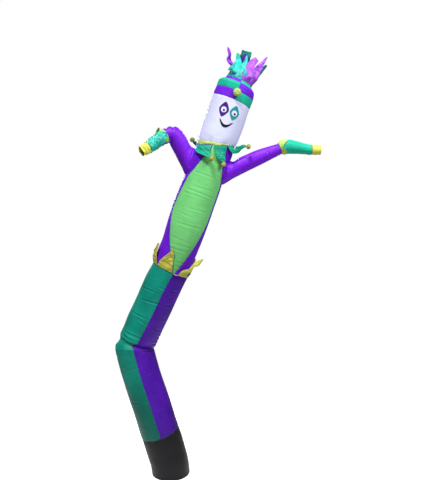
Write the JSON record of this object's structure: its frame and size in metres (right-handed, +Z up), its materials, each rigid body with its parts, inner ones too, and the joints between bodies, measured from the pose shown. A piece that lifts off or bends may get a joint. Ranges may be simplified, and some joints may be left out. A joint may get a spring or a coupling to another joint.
{
  "type": "inflatable air dancer",
  "caption": "Tall cloth tube figure blown up by air and swaying, in jester dress with a pointed collar with bells, a pointed belt, open arms, a checked cap and loose strip hair.",
  "frame": {"origin": "middle of the open foot's hem, where it straps round the air outlet", "axes": "+Z up along the standing height, the face looks along -Y, +X to the right in the picture"},
  "size_m": [2.5537, 0.7763, 5.2942],
  "materials": {
    "leg_green": "coated ripstop nylon, soft sheen",
    "leg_purple": "coated ripstop nylon, soft sheen",
    "belly_green": "coated ripstop nylon, lit from inside",
    "purple": "coated ripstop nylon, soft sheen",
    "teal": "coated ripstop nylon, soft sheen",
    "yellow": "coated ripstop nylon, soft sheen",
    "gold": "thin limp nylon, soft sheen",
    "white": "coated ripstop nylon, smooth",
    "cap_purple": "coated ripstop nylon, soft sheen",
    "violet": "thin limp nylon, soft sheen",
    "black": "heavier coated nylon, matt"
  },
  "bodies": {
    "root": {"bell_back_left": "yellow", "bell_back_right": "yellow", "bell_front_left": "yellow", "bell_front_right": "yellow", "bell_left": "yellow", "bell_right": "yellow", "belly_panel": "belly_green", "belt_back": "gold", "belt_back_left": "gold", "belt_back_right": "gold", "belt_left": "gold", "belt_middle": "gold", "belt_right": "gold", "collar_back_left": "teal", "collar_back_right": "teal", "collar_front_left": "teal", "collar_front_right": "teal", "collar_left": "teal", "collar_right": "teal", "elbow_cuff_left": "yellow", "elbow_cuff_right": "yellow", "foot_cuff": "black", "forearm_left": "teal", "forearm_right": "teal", "hair_back": "teal", "hair_back_left": "violet", "hair_back_right": "violet", "hair_far_right": "teal", "hair_front": "teal", "hair_front_left": "teal", "hair_front_right": "violet", "hair_left": "violet", "hair_right": "violet", "hat_ball": "yellow", "hat_low_left": "cap_purple", "hat_low_right": "teal", "hat_middle_left": "teal", "hat_middle_right": "cap_purple", "hat_top_left": "cap_purple", "hat_top_right": "teal", "head_back": "white", "head_front": "white", "leg_panel_left": "leg_green", "leg_panel_right": "leg_purple", "neck_band": "yellow", "sleeve_left": "purple", "sleeve_right": "purple", "torso_left": "purple", "torso_right": "purple", "wrist_band_left": "yellow", "wrist_band_right": "yellow"}
  },
  "joints": []
}
